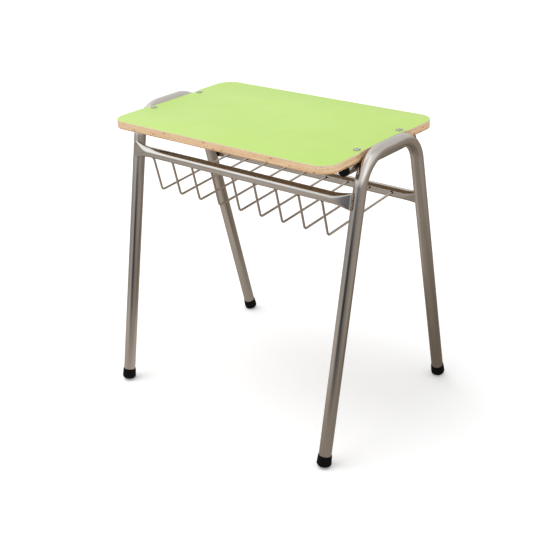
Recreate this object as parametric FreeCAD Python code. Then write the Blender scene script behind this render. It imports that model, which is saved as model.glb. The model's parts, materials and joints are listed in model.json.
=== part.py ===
import FreeCAD, Part
import math
import os

# School desk for one pupil, in millimetres.
# Two inverted-U tube frames stand outside the short ends of a laminated board. Each carries a
# support tube under the board, and two rails with flattened ends join the frames and hold nine
# bent wires, which make the book rack.
# +Z is up, X runs along the long side of the board, +Y is the pupil's side where the rack is open,
# and the origin is on the floor under the middle of the board.

V = FreeCAD.Vector
UP = V(0, 0, 1)
ALONG = V(1, 0, 0)
ACROSS = V(0, 1, 0)

# Board
board_length = 700.0
board_depth = 450.0
board_top_height = 760.0
core_thickness = 18.2
laminate_thickness = 0.9
board_corner_radius = 45.0

# Inverted-U frames: each tube's top axis runs outside the board's end, the drop below its surface
frame_tube_radius = 16.0
frame_tube_wall = 1.5
frame_offset = 12.0
frame_top_drop = 7.0
frame_top_flat = 72.0
frame_bend_radius = 85.0
leg_splay = 12.35
leg_toe_in = 0.76

# Shallow recess in each short edge of the board, where the frame tube passes
recess_clearance = 1.2
recess_flat_length = 176.0
recess_ramp = 22.0
recess_corner_round = 12.0

# Rubber feet
foot_wall = 1.4
foot_flare = 1.1
foot_height = 30.0
foot_floor = 6.0
foot_corner_round = 9.0
foot_lip_round = 0.8
foot_clearance = 0.2

# Support tubes under the board, set back from its ends and welded to the frames through two lugs each
support_tube_radius = 14.0
support_tube_wall = 1.5
support_setback = 20.0
support_tube_length = 268.0
support_clearance = 0.2
cap_head_length = 10.0
cap_head_step = 0.2
cap_round = 2.6
cap_plug_length = 14.0
cap_plug_clearance = 0.2
lug_thickness = 10.0
lug_width = 24.0
lug_spacing = 46.0

# Rails of the book rack, with ends pressed flat and leaning with the legs that they meet; each
# rail's axis is its drop below the board's surface
rail_radius = 14.0
rail_wall = 1.5
rail_end_half_thickness = 2.5
rail_end_flat_length = 4.0
rail_neck_length = 50.0
rail_neck_ease = 1.6
rail_end_bite = 0.8
rail_tip_inset = 5.0
upper_rail_drop = 103.0
lower_rail_drop = 194.5
neck_sections = 8
section_points = 40

# Rack wires
wire_radius = 3.0
wire_count = 9
wire_row_margin = 82.0
wire_row_shift = -12.0
wire_bend_radius = 9.0
wire_corner_drop = 111.0
wire_corner_setback = 23.0
wire_seat_rise = 3.5

# Weld seams
weld_gap = 0.2
rail_weld_radius = 2.6
rail_weld_length = 30.0
wire_weld_radius = 4.4

# Fasteners through the board
screw_axis_y = 87.0
screw_shank_radius = 3.0
screw_length = 34.0
screw_head_radius = 9.0
screw_head_height = 3.4
screw_head_rim = 0.9
screw_slot_width = 1.7
screw_slot_length = 8.0
screw_slot_depth = 1.6
screw_hole_radius = 3.4
screw_thread_clearance = 0.1
insert_radius = 4.6
insert_length = 15.0
insert_collar_radius = 5.8
insert_collar_height = 3.0
insert_hole_clearance = 0.1

# Run of cutting shapes past the faces they cut, and of a leg's cutter each way past a rail's axis
overrun = 5.0
leg_cutter_reach = 42.0

board_thickness = core_thickness + 2 * laminate_thickness
board_underside = board_top_height - board_thickness
frame_axis_x = board_length / 2 + frame_offset
frame_top_height = board_top_height - frame_top_drop
upper_rail_height = board_top_height - upper_rail_drop
lower_rail_height = board_top_height - lower_rail_drop
support_axis_x = board_length / 2 - support_setback
support_axis_z = board_underside - support_tube_radius - support_clearance
splay = math.radians(leg_splay)
toe_in = math.radians(leg_toe_in)


# Frame geometry

def leg_virtual_corner():
    """Distance from the middle of a frame to where the leg's axis meets the level of its top."""
    bend_angle = math.pi / 2 - splay
    return frame_top_flat / 2 + frame_bend_radius * math.tan(bend_angle / 2)


def on_frame(side, y, drop):
    """Point of a leaning frame's plane: y across the desk, drop below the top axis."""
    x = side * (frame_axis_x - drop * math.sin(toe_in))
    return V(x, y, frame_top_height - drop * math.cos(toe_in))


def leg_point(side, end, height):
    """Point of a leg's axis at a height above the floor; side is -1 or 1 in X, end -1 or 1 in Y."""
    drop = (frame_top_height - height) / math.cos(toe_in)
    return on_frame(side, end * (leg_virtual_corner() + drop * math.tan(splay)), drop)


def leg_direction(side, end):
    """Unit vector down a leg's axis."""
    foot = leg_point(side, end, 0)
    top = leg_point(side, end, frame_top_height)
    return (foot - top).normalize()


def foot_outer_radius():
    """Radius of a rubber foot at its flared lower end."""
    return frame_tube_radius + foot_clearance + foot_wall + foot_flare


def foot_centre_height():
    """Height of the middle of a foot's base, so that its lowest edge just touches the floor."""
    tilt = math.acos(math.cos(splay) * math.cos(toe_in))
    flat_radius = foot_outer_radius() - foot_corner_round
    return flat_radius * math.sin(tilt) + foot_corner_round * (1 - math.cos(tilt))


def polyline_with_arcs(points, radius):
    """Wire through the points with every inner corner rounded to the radius."""
    edges = []
    start = points[0]
    for before, corner, after in zip(points, points[1:], points[2:]):
        into = (before - corner).normalize()
        out = (after - corner).normalize()
        half = into.getAngle(out) / 2
        tangent = radius / math.tan(half)
        bisector = (into + out).normalize()
        entry = corner + into * tangent
        leave = corner + out * tangent
        middle = corner + bisector * (radius / math.sin(half) - radius)
        edges.append(Part.makeLine(start, entry))
        edges.append(Part.Arc(entry, middle, leave).toShape())
        start = leave
    edges.append(Part.makeLine(start, points[-1]))
    return Part.Wire(edges)


def round_bar(path, radius):
    """Solid round bar along a wire of lines and arcs."""
    start = path.OrderedVertexes[0].Point
    direction = path.OrderedEdges[0].tangentAt(path.OrderedEdges[0].FirstParameter)
    profile = Part.Wire([Part.makeCircle(radius, start, direction)])
    return path.makePipeShell([profile], True, False)


def frame_path(side, leg_end_drop):
    """Axis of an inverted U between the two points of its legs at the drop below the top."""
    corner = leg_virtual_corner()
    foot = corner + leg_end_drop * math.tan(splay)
    points = [
        on_frame(side, -foot, leg_end_drop),
        on_frame(side, -corner, 0),
        on_frame(side, corner, 0),
        on_frame(side, foot, leg_end_drop),
    ]
    return polyline_with_arcs(points, frame_bend_radius)


def frame_tube(side):
    """Bent tube of one end frame, its legs standing on the floors of the rubber feet."""
    seat = foot_floor + foot_clearance
    base_drop = (frame_top_height - foot_centre_height()) / math.cos(toe_in)
    tube_drop = base_drop - seat * math.cos(splay)
    bore_drop = tube_drop + overrun
    tube = round_bar(frame_path(side, tube_drop), frame_tube_radius)
    bore = round_bar(frame_path(side, bore_drop), frame_tube_radius - frame_tube_wall)
    return tube.cut(bore)


def foot_cup(side, end):
    """Rubber foot pushed over the end of one leg, flared and rounded at its base."""
    bore = frame_tube_radius + foot_clearance
    lip = bore + foot_wall
    base = foot_outer_radius()
    flank = V(lip - base, 0, foot_height - foot_corner_round).normalize()
    shoulder = V(base, 0, foot_corner_round)
    mid = V(base - foot_corner_round, 0, foot_corner_round)
    diagonal = V(1, 0, -1).normalize() * foot_corner_round
    lip_start = V(lip, 0, foot_height) - flank * foot_lip_round
    lip_end = V(lip - foot_lip_round, 0, foot_height)
    lip_mid = V(lip, 0, foot_height) + V(-1, 0, -1) * foot_lip_round * (1 - math.sqrt(0.5))
    edges = [
        Part.makeLine(V(0, 0, 0), V(base - foot_corner_round, 0, 0)),
        Part.Arc(V(base - foot_corner_round, 0, 0), mid + diagonal, shoulder).toShape(),
        Part.makeLine(shoulder, lip_start),
        Part.Arc(lip_start, lip_mid, lip_end).toShape(),
        Part.makeLine(lip_end, V(bore, 0, foot_height)),
        Part.makeLine(V(bore, 0, foot_height), V(bore, 0, foot_floor)),
        Part.makeLine(V(bore, 0, foot_floor), V(0, 0, foot_floor)),
        Part.makeLine(V(0, 0, foot_floor), V(0, 0, 0)),
    ]
    cup = Part.Face(Part.Wire(edges)).revolve(V(0, 0, 0), UP, 360)
    turn = FreeCAD.Rotation(UP, leg_direction(side, end) * -1)
    cup.Placement = FreeCAD.Placement(leg_point(side, end, foot_centre_height()), turn)
    return cup


def leg_cutter(side, end, height):
    """Cylinder round a leg behind a rail's end, a weld gap larger than the tube."""
    down = leg_direction(side, end)
    start = leg_point(side, end, height) - down * leg_cutter_reach
    return Part.makeCylinder(frame_tube_radius + weld_gap, 2 * leg_cutter_reach, start, down)


# Board

def board_outline(height):
    """Closed wire of the board's plan: rounded corners and a shallow recess in each short edge."""
    x = board_length / 2
    y = board_depth / 2
    recess_x = frame_axis_x - frame_tube_radius - recess_clearance
    flat = recess_flat_length / 2
    ramp = flat + recess_ramp
    right = [
        V(x, -ramp, height),
        V(recess_x, -flat, height),
        V(recess_x, flat, height),
        V(x, ramp, height),
    ]
    left = [V(-point.x, -point.y, height) for point in right]
    edges = []
    for side, recess in ((1, right), (-1, left)):
        arc_x = side * (x - board_corner_radius)
        arc_y = side * (y - board_corner_radius)
        start = V(arc_x, -side * y, height)
        leave = V(side * x, -arc_y, height)
        edges.append(corner_arc(start, leave, V(arc_x, -arc_y, height)))
        dip = polyline_with_arcs([leave] + recess + [V(side * x, arc_y, height)], recess_corner_round)
        edges.extend(dip.OrderedEdges)
        end = V(arc_x, side * y, height)
        edges.append(corner_arc(V(side * x, arc_y, height), end, V(arc_x, arc_y, height)))
        edges.append(Part.makeLine(end, V(-arc_x, side * y, height)))
    return Part.Wire(edges)


def corner_arc(start, end, centre):
    """Quarter circle between two points round a centre."""
    middle = ((start + end) / 2 - centre).normalize() * (start - centre).Length
    return Part.Arc(start, centre + middle, end).toShape()


def screw_axes():
    """Plan positions of the four screws that hold the board to the support tubes."""
    return [V(side * support_axis_x, end * screw_axis_y, 0) for side in (-1, 1) for end in (-1, 1)]


def board_layer(bottom, thickness):
    """One layer of the board with its four screw holes."""
    layer = Part.Face(board_outline(bottom)).extrude(UP * thickness)
    for axis in screw_axes():
        start = axis + UP * (bottom - overrun)
        hole = Part.makeCylinder(screw_hole_radius, thickness + 2 * overrun, start, UP)
        layer = layer.cut(hole)
    return layer


def board_core():
    """Wooden core of the board between its two laminates."""
    return board_layer(board_underside + laminate_thickness, core_thickness)


# Support tubes

def support_tube(side):
    """Straight tube under one end of the board, holed for the threaded inserts."""
    start = V(side * support_axis_x, -support_tube_length / 2, support_axis_z)
    tube = Part.makeCylinder(support_tube_radius, support_tube_length, start, ACROSS)
    bore_start = start - ACROSS * overrun
    bore_length = support_tube_length + 2 * overrun
    bore = Part.makeCylinder(support_tube_radius - support_tube_wall, bore_length, bore_start, ACROSS)
    tube = tube.cut(bore)
    for end in (-1, 1):
        hole_start = V(side * support_axis_x, end * screw_axis_y, support_axis_z)
        radius = insert_radius + insert_hole_clearance
        hole = Part.makeCylinder(radius, support_tube_radius + overrun, hole_start, UP)
        tube = tube.cut(hole)
    return tube


def support_cap(side, end):
    """Plastic end cap: a rounded head outside the tube and a plug inside it."""
    seat = V(side * support_axis_x, end * support_tube_length / 2, support_axis_z)
    outward = ACROSS * end
    head = Part.makeCylinder(support_tube_radius - cap_head_step, cap_head_length, seat, outward)
    far_edges = [edge for edge in head.Edges if is_far_circle(edge, seat, outward)]
    head = head.makeFillet(cap_round, far_edges)
    plug_radius = support_tube_radius - support_tube_wall - cap_plug_clearance
    plug = Part.makeCylinder(plug_radius, cap_plug_length, seat - outward * cap_plug_length, outward)
    return head.fuse(plug).removeSplitter()


def is_far_circle(edge, seat, outward):
    """Whether an edge lies wholly on the outer face of a cap's head."""
    middle = cap_head_length / 2
    return all((vertex.Point - seat).dot(outward) > middle for vertex in edge.Vertexes)


def support_lugs(side):
    """Two welded lugs that join a support tube to the top of its frame."""
    support = V(side * support_axis_x, 0, support_axis_z)
    frame = V(side * frame_axis_x, 0, frame_top_height)
    along = (frame - support).normalize()
    across = along.cross(ACROSS)
    shape = Part.makeBox((frame - support).Length, lug_width, lug_thickness)
    corner = support - across * (lug_thickness / 2) - ACROSS * (lug_width / 2)
    turn = FreeCAD.Rotation(along, ACROSS, across)
    shape.Placement = FreeCAD.Placement(corner, turn)
    reach = lug_width
    for centre, radius in ((support, support_tube_radius), (frame, frame_tube_radius)):
        round_tube = Part.makeCylinder(radius + weld_gap, 2 * reach, centre - ACROSS * reach, ACROSS)
        shape = shape.cut(round_tube)
    recess_edge = frame_axis_x - frame_tube_radius - recess_clearance
    board_zone = Part.makeBox(2 * recess_edge, 2 * reach, board_thickness)
    board_zone.translate(V(-recess_edge, -reach, board_underside - weld_gap))
    shape = shape.cut(board_zone)
    lugs = []
    for end in (-1, 1):
        lug = shape.copy()
        lug.translate(ACROSS * (end * lug_spacing / 2))
        lugs.append(lug)
    return Part.makeCompound(lugs)


# Rack rails

def oval_ring(x, radius, spread):
    """Closed curve in the plane at x: half circles the spread above and below, with flat sides."""
    bend = math.pi * radius
    half = 2 * spread + bend
    points = []
    for index in range(section_points):
        place = 2 * half * index / section_points
        turn = 1 if place < half else -1
        place = place % half
        if place < spread:
            y, z = radius, place
        elif place > spread + bend:
            y, z = -radius, half - place
        else:
            angle = (place - spread) / radius
            y, z = radius * math.cos(angle), spread + radius * math.sin(angle)
        points.append(V(x, turn * y, turn * z))
    curve = Part.BSplineCurve()
    steps = [float(index) for index in range(section_points + 1)]
    curve.interpolate(Points=points, PeriodicFlag=True, Parameters=steps)
    return Part.Wire([curve.toShape()])


def oval_at(x, share, wall):
    """Section of a rail at x, where share runs from 0 for round to 1 for pressed flat."""
    pressed = (rail_radius - rail_end_half_thickness) * share ** rail_neck_ease
    return oval_ring(x, rail_radius - pressed - wall, math.pi / 2 * pressed)


def rail_body(half_length, wall, run):
    """Rail along X, round in the middle, with pressed ends that run on; smaller by the wall."""
    flat_start = half_length - rail_end_flat_length
    neck_start = flat_start - rail_neck_length
    body = Part.makeLoft([oval_at(-neck_start, 0, wall), oval_at(neck_start, 0, wall)], True, True)
    for side in (-1, 1):
        neck = []
        for step in range(neck_sections + 1):
            share = step / neck_sections
            neck.append(oval_at(side * (neck_start + rail_neck_length * share), share, wall))
        body = body.fuse(Part.makeLoft(neck, True, False))
        tip = [oval_at(side * flat_start, 1, wall), oval_at(side * (half_length + run), 1, wall)]
        body = body.fuse(Part.makeLoft(tip, True, True))
    return body.removeSplitter()


def rail_axis(end, height):
    """Middle of a rail's axis, outside the two legs and square to their lean."""
    offset = frame_tube_radius + rail_end_half_thickness - rail_end_bite
    leg = leg_point(1, end, height - offset * math.sin(splay))
    return V(0, leg.y + end * offset * math.cos(splay), height)


def rail_place(end, height):
    """Placement of a rail: its pressed ends lean with the legs."""
    return FreeCAD.Placement(rail_axis(end, height), FreeCAD.Rotation(ALONG, end * leg_splay))


def rack_rail(end, height):
    """Hollow rail across the desk, its flattened ends fitted round the legs."""
    half_length = leg_point(1, end, height).x - rail_tip_inset
    outer = rail_body(half_length, 0, 0)
    inner = rail_body(half_length, rail_wall, overrun)
    rail = outer.cut(inner)
    rail.Placement = rail_place(end, height)
    for side in (-1, 1):
        rail = rail.cut(leg_cutter(side, end, height))
    return rail


# Rack wires

def upper_axis():
    """Axis point of the upper rail, on the closed side of the rack."""
    return rail_axis(-1, upper_rail_height)


def lower_axis():
    """Axis point of the lower rail, on the pupil's side of the rack."""
    return rail_axis(1, lower_rail_height)


def wire_places():
    """X positions of the rack wires, evenly between the frames but slightly to one side."""
    reach = frame_axis_x - wire_row_margin
    pitch = 2 * reach / (wire_count - 1)
    return [wire_row_shift - reach + pitch * index for index in range(wire_count)]


def wire_points():
    """Three corner points of a rack wire's axis in the plane x = 0."""
    top = upper_axis()
    corner = top + V(0, wire_corner_setback, -wire_corner_drop)
    seat = lower_axis() + UP * wire_seat_rise
    return [top, corner, seat]


def rail_cutter(axis):
    """Round of a rail, a weld gap larger than its tube."""
    start = axis - ALONG * (board_length / 2)
    return Part.makeCylinder(rail_radius + weld_gap, board_length, start, ALONG)


def rack_wire(x):
    """One bent wire, from the underside of the upper rail to the inner face of the lower one."""
    wire = round_bar(polyline_with_arcs(wire_points(), wire_bend_radius), wire_radius)
    wire = wire.cut(rail_cutter(upper_axis())).cut(rail_cutter(lower_axis()))
    wire.translate(ALONG * x)
    return wire


# Weld seams

def wire_welds(axis, wire_end):
    """Small fillet welds where the wires enter a rail; the wire's end lies inside the rail."""
    direction = (wire_points()[1] - wire_end).normalize()
    offset = wire_end - axis
    lead = offset.dot(direction)
    entry = math.sqrt(lead ** 2 + rail_radius ** 2 - offset.dot(offset)) - lead
    bead = Part.makeSphere(wire_weld_radius, wire_end + direction * entry)
    rod = Part.makeCylinder(wire_radius + weld_gap, 2 * rail_radius, wire_end, direction)
    bead = bead.cut(rail_cutter(axis)).cut(rod)
    beads = []
    for x in wire_places():
        copy = bead.copy()
        copy.translate(ALONG * x)
        beads.append(copy)
    return Part.makeCompound(beads)


def rail_welds(end, height):
    """Fillet seams between the flattened ends of a rail and the legs."""
    axis = rail_axis(end, height)
    seams = []
    for side in (-1, 1):
        tip_x = leg_point(side, end, height).x - side * rail_tip_inset
        body = rail_body(abs(tip_x), -weld_gap, 0)
        body.Placement = rail_place(end, height)
        half_seam = leg_direction(side, end) * (rail_weld_length / 2)
        start = V(tip_x, axis.y, height) - half_seam
        seam = Part.makeCylinder(rail_weld_radius, rail_weld_length, start, half_seam)
        for tail in (start, start + half_seam * 2):
            seam = seam.fuse(Part.makeSphere(rail_weld_radius, tail))
        seams.append(seam.cut(leg_cutter(side, end, height)).cut(body))
    return Part.makeCompound(seams)


# Fasteners

def top_screws():
    """Four pan-head screws through the board into the support tubes."""
    screws = []
    dome_height = screw_head_height - screw_head_rim
    ball_radius = (screw_head_radius ** 2 + dome_height ** 2) / (2 * dome_height)
    for axis in screw_axes():
        seat = axis + UP * board_top_height
        rim = Part.makeCylinder(screw_head_radius, screw_head_rim, seat, UP)
        ball = Part.makeSphere(ball_radius, seat + UP * (screw_head_height - ball_radius))
        dome_seat = seat + UP * screw_head_rim
        dome = ball.common(Part.makeCylinder(screw_head_radius, dome_height, dome_seat, UP))
        shank = Part.makeCylinder(screw_shank_radius, screw_length, seat - UP * screw_length, UP)
        screw = rim.fuse(dome).fuse(shank)
        for turn in (0, 90):
            slot = Part.makeBox(screw_slot_length, screw_slot_width, screw_slot_depth + overrun)
            slot.translate(V(-screw_slot_length / 2, -screw_slot_width / 2, -screw_slot_depth))
            slot.rotate(V(0, 0, 0), UP, turn)
            slot.translate(seat + UP * screw_head_height)
            screw = screw.cut(slot)
        screws.append(screw.removeSplitter())
    return Part.makeCompound(screws)


def threaded_inserts():
    """Four threaded inserts set in the top walls of the support tubes."""
    inserts = []
    wall_inside = math.sqrt((support_tube_radius - support_tube_wall) ** 2 - insert_collar_radius ** 2)
    for axis in screw_axes():
        top = support_axis_z + math.sqrt(support_tube_radius ** 2 - insert_radius ** 2)
        body = Part.makeCylinder(insert_radius, insert_length, axis + UP * (top - insert_length), UP)
        collar_top = support_axis_z + wall_inside
        collar_base = axis + UP * (collar_top - insert_collar_height)
        collar = Part.makeCylinder(insert_collar_radius, insert_collar_height, collar_base, UP)
        bore_base = axis + UP * (top - insert_length - overrun)
        bore_radius = screw_shank_radius + screw_thread_clearance
        bore = Part.makeCylinder(bore_radius, insert_length + 2 * overrun, bore_base, UP)
        inserts.append(body.fuse(collar).cut(bore).removeSplitter())
    return Part.makeCompound(inserts)


def build():
    """All pieces of the desk under the names of their nodes."""
    nodes = {
        "board_core": board_core(),
        "top_laminate": board_layer(board_top_height - laminate_thickness, laminate_thickness),
        "backing_laminate": board_layer(board_underside, laminate_thickness),
        "upper_rack_rail": rack_rail(-1, upper_rail_height),
        "lower_rack_rail": rack_rail(1, lower_rail_height),
        "upper_rail_welds": rail_welds(-1, upper_rail_height),
        "lower_rail_welds": rail_welds(1, lower_rail_height),
        "upper_wire_welds": wire_welds(upper_axis(), wire_points()[0]),
        "lower_wire_welds": wire_welds(lower_axis(), wire_points()[2]),
        "top_screws": top_screws(),
        "threaded_inserts": threaded_inserts(),
    }
    for side, side_name in ((-1, "left"), (1, "right")):
        nodes[side_name + "_frame_tube"] = frame_tube(side)
        nodes[side_name + "_support_tube"] = support_tube(side)
        nodes[side_name + "_support_lugs"] = support_lugs(side)
        for end, end_name in ((-1, "back"), (1, "front")):
            nodes[end_name + "_" + side_name + "_foot"] = foot_cup(side, end)
            nodes[end_name + "_" + side_name + "_support_cap"] = support_cap(side, end)
    for number, x in enumerate(wire_places(), start=1):
        nodes["rack_wire_" + str(number)] = rack_wire(x)
    return nodes


os.makedirs("parts", exist_ok=True)
for name, shape in build().items():
    shape.exportStep("parts/" + name + ".step")
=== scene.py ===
"""Looks of a school desk: a green laminated board on bent steel tube frames with a wire book rack.

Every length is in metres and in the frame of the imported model: +Z up, X along the board, +Y on the
pupil's side, with the origin on the floor under the middle of the board.
"""

import json
import logging
import math
from dataclasses import dataclass, field
from enum import Enum

import bmesh
import bpy
from bmesh.types import BMEdge, BMesh, BMVert
from bpy.types import Material, Node, NodeSocket as Socket, NodeTree, Object
from mathutils import Matrix, Vector

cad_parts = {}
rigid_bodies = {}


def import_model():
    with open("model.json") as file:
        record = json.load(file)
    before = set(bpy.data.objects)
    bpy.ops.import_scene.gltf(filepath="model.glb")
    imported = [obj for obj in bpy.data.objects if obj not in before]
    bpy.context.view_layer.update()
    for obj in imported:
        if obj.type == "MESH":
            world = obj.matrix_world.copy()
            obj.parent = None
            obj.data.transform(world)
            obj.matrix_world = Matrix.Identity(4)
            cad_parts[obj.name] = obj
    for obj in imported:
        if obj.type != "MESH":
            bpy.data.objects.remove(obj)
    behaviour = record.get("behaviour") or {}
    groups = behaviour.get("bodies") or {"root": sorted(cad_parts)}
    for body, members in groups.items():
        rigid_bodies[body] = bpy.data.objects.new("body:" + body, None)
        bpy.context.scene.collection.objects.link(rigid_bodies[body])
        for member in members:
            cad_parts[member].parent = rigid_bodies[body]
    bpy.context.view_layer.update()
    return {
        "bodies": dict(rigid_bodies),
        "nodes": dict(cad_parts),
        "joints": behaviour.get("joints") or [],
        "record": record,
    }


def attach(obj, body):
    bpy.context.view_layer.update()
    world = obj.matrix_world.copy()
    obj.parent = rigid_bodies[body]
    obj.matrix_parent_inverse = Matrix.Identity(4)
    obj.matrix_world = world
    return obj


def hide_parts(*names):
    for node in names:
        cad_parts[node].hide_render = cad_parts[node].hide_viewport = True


LOG = logging.getLogger("school_desk")
ROOT = "root"
STRAIGHTENED = "straightened"
RIM_MAP = "rim"
TOUCHING = 0.00001
WIRE_COUNT = 9

Colour = tuple[float, float, float]
Inputs = dict[str | int, object]
Points = tuple[tuple[float, float], ...]
Tones = tuple[tuple[float, Colour], ...]
Frame = dict[str, object]


class Place(Enum):
    """A place on the desk, whose name is a word in the names of nodes."""

    @property
    def label(self) -> str:
        """The word in the names of nodes."""
        return self.name.lower()


class Side(Place):
    """The two ends of the desk along X."""

    LEFT = -1
    RIGHT = 1


class End(Place):
    """The two sides of the desk along Y."""

    BACK = -1
    FRONT = 1


class Run(Enum):
    """What a tube's grinding marks follow."""

    STRAIGHTENED = "the tube's own bends"
    ALONG_Y = "the Y axis"


def srgb(red: float, green: float, blue: float) -> Colour:
    """Turns a display colour into the linear one that shaders use.

    Args:
        red: Red share, 0 to 255.
        green: Green share, 0 to 255.
        blue: Blue share, 0 to 255.

    Returns:
        The linear colour.
    """
    shares = [value / 255 for value in (red, green, blue)]
    linear = [s / 12.92 if s <= 0.04045 else ((s + 0.055) / 1.055) ** 2.4 for s in shares]
    return (linear[0], linear[1], linear[2])


@dataclass
class NodePen:
    """Writes nodes and links into one node tree.

    Attributes:
        tree: The node tree that is written.
    """

    tree: NodeTree

    def fill(self, node: Node, inputs: Inputs) -> None:
        """Sets or links some of a node's inputs.

        Args:
            node: The node.
            inputs: Values or sockets by input name or number.
        """
        for key, value in inputs.items():
            if isinstance(value, Socket):
                self.tree.links.new(value, node.inputs[key])
            else:
                node.inputs[key].default_value = value

    def put(self, kind: str, inputs: Inputs | None = None, **settings: object) -> Node:
        """Adds a node, sets its options, and sets or links its inputs.

        Args:
            kind: Blender's name of the node's type.
            inputs: Values or sockets by input name or number.
            **settings: Options of the node.

        Returns:
            The new node.
        """
        node = self.tree.nodes.new(kind)
        for name, value in settings.items():
            setattr(node, name, value)
        self.fill(node, inputs or {})
        return node

    def maths(self, operation: str, *values: object, clamp: bool = False) -> Socket:
        """Adds a Math node and returns its result.

        Args:
            operation: The operation's name.
            *values: Numbers or sockets.
            clamp: Whether the result stays between 0 and 1.

        Returns:
            The output socket.
        """
        inputs = dict(enumerate(values))
        return self.put("ShaderNodeMath", inputs, operation=operation, use_clamp=clamp).outputs[0]

    def weigh(
        self, first: Socket, weight: float, second: Socket, other: float, clamp: bool = False
    ) -> Socket:
        """Adds two masks, each with its own weight.

        Args:
            first: A mask.
            weight: The first mask's weight.
            second: Another mask.
            other: The second mask's weight.
            clamp: Whether the result stays between 0 and 1.

        Returns:
            The output socket.
        """
        rest = self.maths("MULTIPLY", second, other)
        return self.maths("MULTIPLY_ADD", first, weight, rest, clamp=clamp)

    def blend(self, share: object, first: object, second: object) -> Socket:
        """Mixes two colours.

        Args:
            share: How much of the second colour shows.
            first: A colour or a colour socket.
            second: A colour or a colour socket.

        Returns:
            The colour socket.
        """
        colours = [value if isinstance(value, Socket) else (*value, 1.0) for value in (first, second)]
        inputs = {0: share, 6: colours[0], 7: colours[1]}
        return self.put("ShaderNodeMix", inputs, data_type="RGBA").outputs[2]

    def spread(
        self, value: object, low: float, high: float, to_low: float = 0.0, to_high: float = 1.0
    ) -> Socket:
        """Maps a range of values onto another one with soft ends.

        Args:
            value: The socket or number that is mapped.
            low: Lower end of the source range.
            high: Upper end of the source range.
            to_low: Result at the lower end.
            to_high: Result at the upper end.

        Returns:
            The output socket.
        """
        inputs = {0: value, 1: low, 2: high, 3: to_low, 4: to_high}
        return self.put("ShaderNodeMapRange", inputs, interpolation_type="SMOOTHSTEP").outputs[0]

    def noise(self, vector: Socket, scale: float, detail: float = 3.0, roughness: float = 0.5) -> Socket:
        """Adds a noise texture and returns its value.

        Args:
            vector: Where the texture is read.
            scale: Waves per metre.
            detail: Octaves.
            roughness: Weight of the finer octaves.

        Returns:
            The value socket.
        """
        inputs = {"Vector": vector, "Scale": scale, "Detail": detail, "Roughness": roughness}
        return self.put("ShaderNodeTexNoise", inputs).outputs[0]

    def stretch(self, vector: Socket, scale: Colour, turn: Colour = (0.0, 0.0, 0.0)) -> Socket:
        """Scales and turns a vector.

        Args:
            vector: The vector that is changed.
            scale: Factor along each axis.
            turn: Angle round each axis.

        Returns:
            The changed vector.
        """
        inputs = {"Vector": vector, "Rotation": turn, "Scale": scale}
        return self.put("ShaderNodeMapping", inputs).outputs[0]

    def grow(self, vector: Socket, factor: Socket) -> Socket:
        """A vector times a factor."""
        return self.put("ShaderNodeVectorMath", {0: vector, 3: factor}, operation="SCALE").outputs[0]

    def relief(self, height: Socket, strength: float, depth: float) -> Socket:
        """Turns a height into a small relief.

        Args:
            height: The height, a mask.
            strength: How much of the relief shows.
            depth: Depth that a full height stands for.

        Returns:
            The normal.
        """
        inputs = {"Strength": strength, "Distance": depth, "Height": height}
        return self.put("ShaderNodeBump", inputs).outputs[0]

    def place(self) -> Socket:
        """Position on the piece."""
        return self.put("ShaderNodeTexCoord").outputs["Object"]

    def rise(self, vector: Socket) -> Socket:
        """The Z part of a vector."""
        return self.put("ShaderNodeSeparateXYZ", {0: vector}).outputs[2]

    def upward(self) -> Socket:
        """How far the surface faces up: 1 where it does, -1 where it faces down."""
        return self.rise(self.put("ShaderNodeNewGeometry").outputs["Normal"])


@dataclass
class Effect:
    """A node group that several materials share, built when it is first placed.

    Attributes:
        name: The group's name.
        setting: Name of the input that sizes the effect.
        default: That input's value where nothing sets it.
        masks: Names of the group's outputs.
        tree: The group, once it is built.
    """

    name: str
    setting: str
    default: float
    masks: tuple[str, ...]
    tree: NodeTree | None = None

    def on(self, pen: NodePen, vector: Socket, value: float) -> list[Socket]:
        """Places the group in a material.

        Args:
            pen: The pen of the material's tree.
            vector: Where the effect is read.
            value: Value of the input that sizes it.

        Returns:
            The masks.
        """
        if self.tree is None:
            self.tree = self._build()
        return pen.put("ShaderNodeGroup", {0: vector, 1: value}, node_tree=self.tree).outputs[:]

    def _build(self) -> NodeTree:
        """Writes the group.

        Returns:
            The group, with Vector and the setting in and the masks out.
        """
        tree = bpy.data.node_groups.new(self.name, "ShaderNodeTree")
        tree.interface.new_socket("Vector", in_out="INPUT", socket_type="NodeSocketVector")
        setting = tree.interface.new_socket(self.setting, in_out="INPUT", socket_type="NodeSocketFloat")
        setting.default_value = self.default
        for mask in self.masks:
            tree.interface.new_socket(mask, in_out="OUTPUT", socket_type="NodeSocketFloat")
        pen = NodePen(tree)
        vector, value = pen.put("NodeGroupInput").outputs[:2]
        pen.put("NodeGroupOutput", dict(enumerate(self._draw(pen, vector, value))))
        return tree

    def _draw(self, pen: NodePen, vector: Socket, value: Socket) -> tuple[Socket, ...]:
        """Writes the nodes between the inputs and the masks.

        Args:
            pen: The group's pen.
            vector: Where the effect is read.
            value: The input that sizes it.

        Returns:
            The masks, in the order of their names.
        """
        raise NotImplementedError


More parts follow.
